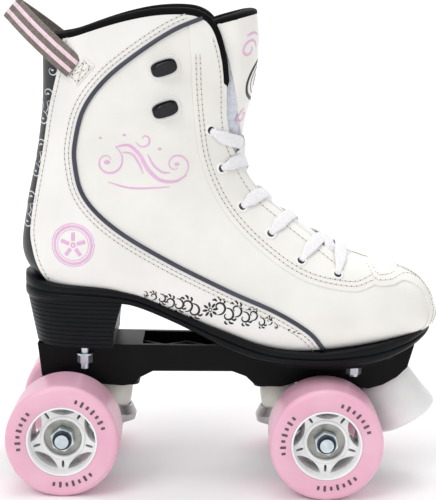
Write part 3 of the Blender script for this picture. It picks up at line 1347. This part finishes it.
def floralBand():
    middle = smoothLine([(-46.7, 112.6), (-36.0, 109.0), (-26.1, 107.2), (-5.7, 106.4),
                         (11.8, 104.6), (26.4, 100.9), (42.1, 96.0)])
    middle = evenLine(middle, 1.0)
    count = len(middle)
    lines = []
    flower = middle[int(count * 0.46)]
    for k in range(8):
        t = math.radians(45 * k + 10)
        lines.append(([(flower[0] + r * math.cos(t), flower[1] + r * math.sin(t))
                       for r in (1.6, 3.0, 4.6)], 1.5))
    lines.append((curl(flower[0], flower[1], 1.0, 1.0, 0, 360), 0.7))
    for k, share in enumerate(np.linspace(0.04, 0.9, 17)):
        if abs(share - 0.46) < 0.045:
            continue
        place = middle[int(share * (count - 1))]
        rise = math.sin(math.pi * min(1.0, share / 0.92)) ** 0.7
        size = 3.9 * rise + 0.8
        up = 1 if k % 2 else -1
        room = place[1] - lineValue(soleHigh, place[0])
        shift = up * size * 0.45
        if room + shift - size < 0.8:
            shift = max(shift, 0.8 - room + size)
        x, z = place[0], place[1] + shift
        lines.append((curl(x, z, size, size * 0.25, -100 * up, 220 * up), 0.55 + 0.75 * rise))
        for reach, lean in ((1.25, 40), (1.35, 75), (1.2, 110)):
            t = math.radians(lean * up)
            lines.append(([(x + size * 0.8 * math.cos(t), z + size * 0.8 * math.sin(t)),
                           (x + size * 1.1 * math.cos(t + 0.12), z + size * 1.1 * math.sin(t + 0.12)),
                           (x + size * reach * math.cos(t + 0.4),
                            z + size * reach * math.sin(t + 0.4))], 0.7 + 0.7 * rise))
    for x, z in ((40.5, 96.6), (43.5, 95.4), (46.0, 94.6)):
        lines.append((dot(x, z, 1.6), 0.8))
    return lines


def stayScrolls():
    lines = []
    for k, (x, z) in enumerate(((-99.5, 243.0), (-102.5, 229.0), (-106.0, 214.0), (-107.0, 199.0),
                                (-110.5, 183.0), (-113.0, 168.0), (-115.5, 153.0))):
        up = 1 if k % 2 else -1
        lines.append((curl(x, z, 4.6, 1.0, -90 * up, 250 * up), 0.7))
        lines.append(([(x - 0.5, z - 4.5 * up), (x + 0.6, z - 8.0 * up), (x - 1.0, z - 11.0 * up)],
                      0.8))
        lines.append((dot(x + 0.4, z, 1.8), 1.2))
    return lines


pinkPieces, blackPieces, whitePieces = [], [], []
for side in (-1, 1):
    for points, width in flourish:
        pinkPieces.append(printLine(points, side, width, pinkInk, 0.72))
    for points, width in emblem:
        pinkPieces.append(printLine(points, side, width, pinkInk, -0.06, taper=False))
    for points, width in floralBand():
        blackPieces.append(printLine(points, side, width, blackInk, -0.06, spacing=0.8))
    for points, width in stayScrolls():
        whitePieces.append(printLine(points, side, width, whiteInk, -0.06))
finishPiece(joinPieces("pinkPrints", pinkPieces), "boot", slot="white_leather")
finishPiece(joinPieces("floralPrint", blackPieces), "boot", slot="black_leather")
finishPiece(joinPieces("scrollPrint", whitePieces), "boot", slot="black_leather")
print("prints ready")


# Print on the tongue from (distance across in mm, height z in mm) points.
def onTongue(points, width, material, spacing=1.0, taper=True):
    pts = evenLine(smoothLine(points), spacing)
    rows = np.array([findOnSurface([(18.0, z)], -1)[0][0] for z in pts[:, 1]])
    across = pts[:, 0] / 118.0
    depth = tongueDepth(rows, across) - 0.9
    centres, outs = surfacePoints(rows, across, depth)
    _, side, outs = directions(centres, outs)
    if taper:
        share = np.linspace(0.03, 0.97, len(centres))
        width = width * (0.35 + 0.65 * np.sin(math.pi * share) ** 0.6)
    return sweep("tonguePrint", centres, side, outs, width, 0.24, material, 4.0, 8)


def ringAt(across, z, radius):
    return [(across + radius * math.cos(t), z + radius * math.sin(t))
            for t in np.linspace(0, 2 * math.pi, 25)]


tonguePrints = []
for side in (-1, 1):
    for points, width in ((curl(-13.0, 258.0, 5.5, 1.5, 0, 400), 1.6),
                          ([(-6.0, 265.0), (-10.0, 266.5), (-15.0, 265.5)], 1.6),
                          (curl(-8.0, 221.5, 3.6, 1.2, 90, 480), 1.4),
                          ([(-6.5, 214.0), (-5.0, 209.0), (-5.5, 203.0)], 1.3)):
        tonguePrints.append(onTongue([(x * side, z) for x, z in points], width, pinkInk))
finishPiece(joinPieces("tonguePinkPrint", tonguePrints), "boot", slot="white_leather")
roundel = [onTongue(ringAt(0.0, 239.0, 10.5), 2.4, blackInk, taper=False),
           onTongue(ringAt(0.0, 239.0, 7.6), 0.5, blackInk, taper=False),
           onTongue(ringAt(0.0, 239.0, 3.2), 1.3, blackInk, taper=False)]
finishPiece(joinPieces("tongueRoundel", roundel), "boot", slot="white_leather")

hubShape = {
    "rimOuter": 20.7,
    "rimInner": 19.4,
    "rimFace": 18.3,            # from the middle of the wheel
    "coreFace": 9.8,
    "coreBack": -7.0,
    "boss": 13.0,
    "bore": 11.02,
    "windows": 5,
}


def ringPoints(radius, count, start=0.0):
    return [(radius * math.cos(start + 2 * math.pi * k / count),
             radius * math.sin(start + 2 * math.pi * k / count)) for k in range(count)]


def windowPoints(angle):
    half = math.radians(27)
    points = []
    for t in np.linspace(-1, 1, 17):
        r = 19.0 - 5.3 * math.cos(math.pi / 2 * t) ** 0.55
        points.append((r, angle + half * t))
    for t in np.linspace(1, -1, 9)[1:-1]:
        points.append((19.0, angle + half * t * 0.96))
    return [(r * math.cos(a), r * math.sin(a)) for r, a in points]


def slotPoints(angle):
    c, s = math.cos(angle), math.sin(angle)
    points = []
    for t in np.linspace(0, 2 * math.pi, 14, endpoint=False):
        along = 16.0 + 2.2 * np.sign(math.cos(t)) * abs(math.cos(t)) ** 0.6
        wide = 0.75 * np.sign(math.sin(t)) * abs(math.sin(t)) ** 0.6
        points.append((along * c - wide * s, along * s + wide * c))
    return points


# Flat plate cut from 2D outlines, then given its thickness between two levels.
def plateWithHoles(name, border, holes, toPlace, low, high, material, bevel):
    points, edges = [], []
    for ring in [border] + holes:
        start = len(points)
        points += [Vector(p) for p in ring]
        edges += [(start + k, start + (k + 1) % len(ring)) for k in range(len(ring))]
    verts, _, faces, _, _, _ = geometry.delaunay_2d_cdt(points, edges, [], 1, 1e-5)
    kept = []
    for face in faces:
        middle = sum((Vector(verts[i]) for i in face), Vector((0, 0))) / len(face)
        inside = False
        for ring in holes:
            count = 0
            for p, q in zip(ring, ring[1:] + ring[:1]):
                if (p[1] > middle.y) != (q[1] > middle.y):
                    if middle.x < (q[0] - p[0]) * (middle.y - p[1]) / (q[1] - p[1]) + p[0]:
                        count += 1
            inside = inside or count % 2 == 1
        if not inside:
            kept.append(face)
    piece = makeObject(name, [toPlace(v[0], v[1], high) for v in verts], kept, material,
                       smooth=False)
    tidyMesh(piece, merge=1e-7, outward=False)
    work = bmesh.new()
    work.from_mesh(piece.data)
    grown = bmesh.ops.extrude_face_region(work, geom=list(work.faces))
    shift = (Vector(toPlace(0, 0, low)) - Vector(toPlace(0, 0, high)))
    bmesh.ops.translate(work, vec=shift,
                        verts=[g for g in grown["geom"] if isinstance(g, bmesh.types.BMVert)])
    bmesh.ops.recalc_face_normals(work, faces=work.faces)
    bmesh.ops.dissolve_limit(work, angle_limit=math.radians(1), verts=work.verts,
                             edges=work.edges)
    work.to_mesh(piece.data)
    work.free()
    if bevel:
        edge = piece.modifiers.new("edge", "BEVEL")
        edge.width = bevel * mm
        edge.segments = 2
        edge.limit_method = "ANGLE"
        edge.angle_limit = math.radians(40)
        applyModifiers(piece)
    return piece


def buildHub(end, side, corner):
    x = axleX[end]
    middle = side * wheel["middle"]

    def toPlace(a, b, level):
        return ((x + a) * mm, (middle + side * level) * mm, (wheel["axleHeight"] + b) * mm)

    step = 2 * math.pi / hubShape["windows"]
    holes = [ringPoints(hubShape["bore"], 64)]
    holes += [windowPoints(math.pi / 2 + step * k) for k in range(hubShape["windows"])]
    holes += [slotPoints(math.pi / 2 + step * (k + 0.5)) for k in range(hubShape["windows"])]
    core = plateWithHoles("hubCore", ringPoints(19.7, 96), holes, toPlace, hubShape["coreBack"],
                          hubShape["coreFace"], hubWhite, 0.45)
    outer, inner, face = hubShape["rimOuter"], hubShape["rimInner"], hubShape["rimFace"]
    rimProfile = [(outer, -17.6), (outer, face - 0.5), (outer - 0.3, face), (inner + 0.3, face),
                  (inner, face - 0.4), (inner - 0.3, -17.6)]
    rim = revolve("hubRim", [(r, a * side) for r, a in rimProfile], (x, middle, 33.0), (0, 1, 0),
                  hubWhite, 96)
    bossProfile = [(hubShape["bore"], hubShape["coreBack"]), (hubShape["boss"], hubShape["coreBack"]),
                   (hubShape["boss"], hubShape["coreFace"] + 0.6),
                   (hubShape["boss"] - 0.5, hubShape["coreFace"] + 1.0),
                   (hubShape["bore"] + 0.4, hubShape["coreFace"] + 1.0),
                   (hubShape["bore"], hubShape["coreFace"] + 0.6)]
    boss = revolve("hubBoss", [(r, a * side) for r, a in bossProfile], (x, middle, 33.0),
                   (0, 1, 0), hubWhite, 72)
    backProfile = [(hubShape["bore"], -14.4), (hubShape["boss"], -14.4),
                   (hubShape["boss"], -6.0), (hubShape["bore"], -6.0)]
    back = revolve("hubBack", [(r, a * side) for r, a in backProfile], (x, middle, 33.0),
                   (0, 1, 0), hubWhite, 72)
    piece = joinPieces(f"hub{end.title()}{corner.title()}", [core, rim, boss, back])
    return finishPiece(piece, f"wheel_{end}_{corner}", f"hub_{end}_{corner}", slot="white_nylon")


hubWhite = mouldedPlastic("polishedNylonHub", "#F4F4F4", "#FAFAFA", 0.2, 3.0, 0.02)
nutBlack = mouldedPlastic("nylonLockRing", "#1A2630", "#223040", 0.35, 1.0, 0.02)
nut = {
    "start": 54.8,
    "height": 5.6,
    "flats": 12.6,
}


def buildNuts(end):
    x = axleX[end]
    pieces = []
    for side in (-1, 1):
        corner = nut["flats"] / 2 / math.cos(math.pi / 6)
        hexRing = ringPoints(corner, 6, math.pi / 6 + 0.2)
        start = nut["start"]

        def toPlace(a, b, level):
            return ((x + a) * mm, side * (start + level) * mm, (33.0 + b) * mm)

        pieces.append(plateWithHoles("nutBody", hexRing, [ringPoints(3.9, 32)], toPlace, 0.0,
                                     nut["height"], zincSteel, 0.7))
        high = nut["height"]
        ring = [(4.0, high - 0.4), (5.5, high - 0.4), (5.6, high + 1.2), (5.1, high + 1.9),
                (4.4, high + 1.9), (4.0, high + 1.4)]
        pieces.append(revolve("nutRing", [(r, a * side) for r, a in ring],
                              (x, side * start, 33.0), (0, 1, 0), nutBlack, 48))
    piece = joinPieces(f"axleNuts{end.title()}", pieces)
    return finishPiece(piece, f"truck_{end}", f"axle_nuts_{end}", slot="zinc_steel")


for end in ("front", "rear"):
    buildNuts(end)
    for side, corner in ((-1, "outer"), (1, "inner")):
        buildHub(end, side, corner)
print("hubs ready")

truck = {
    "lean": 14.0,
    "ringBack": 23.0,
    "ringHeight": 36.0,
    "upper": (4.06, 19.95, 11.9, 10.2),
    "lower": (-13.0, -6.06, 9.6, 11.2),
    "bore": 4.1,
}


def buildCushions(end):
    sign = 1 if end == "front" else -1
    tilt = math.radians(truck["lean"])
    up = np.array((-sign * math.sin(tilt), 0.0, math.cos(tilt)))
    centre = np.array((axleX[end] - sign * truck["ringBack"], 0.0, truck["ringHeight"]))
    for label in ("upper", "lower"):
        low, high, lowR, highR = truck[label]
        corner = 1.2
        wall = [(lowR - corner + corner * math.sin(t), low + corner - corner * math.cos(t))
                for t in np.linspace(0.1, math.pi / 2, 5)]
        for t in np.linspace(0.2, 0.8, 6):
            wall.append((lowR + (highR - lowR) * t + 0.35 * math.sin(math.pi * t),
                         low + (high - low) * t))
        wall += [(highR - corner + corner * math.cos(t), high - corner + corner * math.sin(t))
                 for t in np.linspace(0, math.pi / 2 - 0.1, 5)]
        profile = [(truck["bore"], low)] + wall + [(truck["bore"], high)]
        piece = revolve(f"cushion{label.title()}{end.title()}", profile, centre, up,
                        cushionUrethane, 64)
        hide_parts(f"cushion_{label}_{end}")
        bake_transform(piece)


for end in ("front", "rear"):
    buildCushions(end)
print("cushions ready")

finishes = {
    "insole": insoleCloth, "plate": blackNylon, "toe_stop_bolt": zincSteel,
    "mounting_bolts": zincSteel, "mounting_nuts": zincSteel,
    "kingpin_": zincSteel, "kingpin_nut_": zincSteel, "cushion_washer_": zincSteel,
    "cushion_upper_": cushionUrethane, "cushion_lower_": cushionUrethane,
    "pivot_cup_": blackUrethane, "hanger_": castAluminium, "axle_": zincSteel,
    "axle_nuts_": zincSteel, "axle_spacers_": zincSteel,
    "bearing_inner_rings_": bearingSteel, "bearing_outer_rings_": bearingSteel,
    "bearing_balls_": bearingSteel, "hub_": whiteNylon,
}


def paintFrame():
    for name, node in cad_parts.items():
        best = max((key for key in finishes if name.startswith(key)), key=len, default=None)
        if best is None:
            continue
        node.data.materials.clear()
        node.data.materials.append(finishes[best])


paintFrame()

thread = wovenCloth("polyesterThreadWhite", "#E4DFD6", "#D8D2C7", 0.3, 0.6, 0.05)
holeShade = mouldedPlastic("needleHoleShade", "#4A443C", "#5A534A", 0.9, shine=0.1)
for side in (-1, 1):
    for distance in (3.2, 5.6):
        sew(besideLine(pipingLine, distance)[stitch["collarGap"]:], side, smooth=False)
        sew(besideLine(eyestayLine[1:], -distance + 0.6), side, smooth=False)
    sew(besideLine(throatLine, 3.4), side, smooth=False)
    sew(besideLine(toeSeam[:-1], -2.6), side, smooth=False)
    sew(besideLine(toeSeam[:-1], -5.0), side, smooth=False)
    sew(besideLine(panelBackLine, -2.6), side, smooth=False)
seams = buildStitches("seamStitches", stitchRows, thread,
                      {"Stitch length": stitch["length"], "Stitch width": stitch["width"],
                       "Stitch height": stitch["height"]})
finishPiece(seams, "boot", slot="white_lace")
holes = buildStitches("needleHoles", stitchRows, holeShade,
                      {"Stitch length": 0.8, "Stitch width": 0.62, "Stitch height": 0.4}, True)
finishPiece(holes, "boot", slot="white_lace")
print("stitches ready")
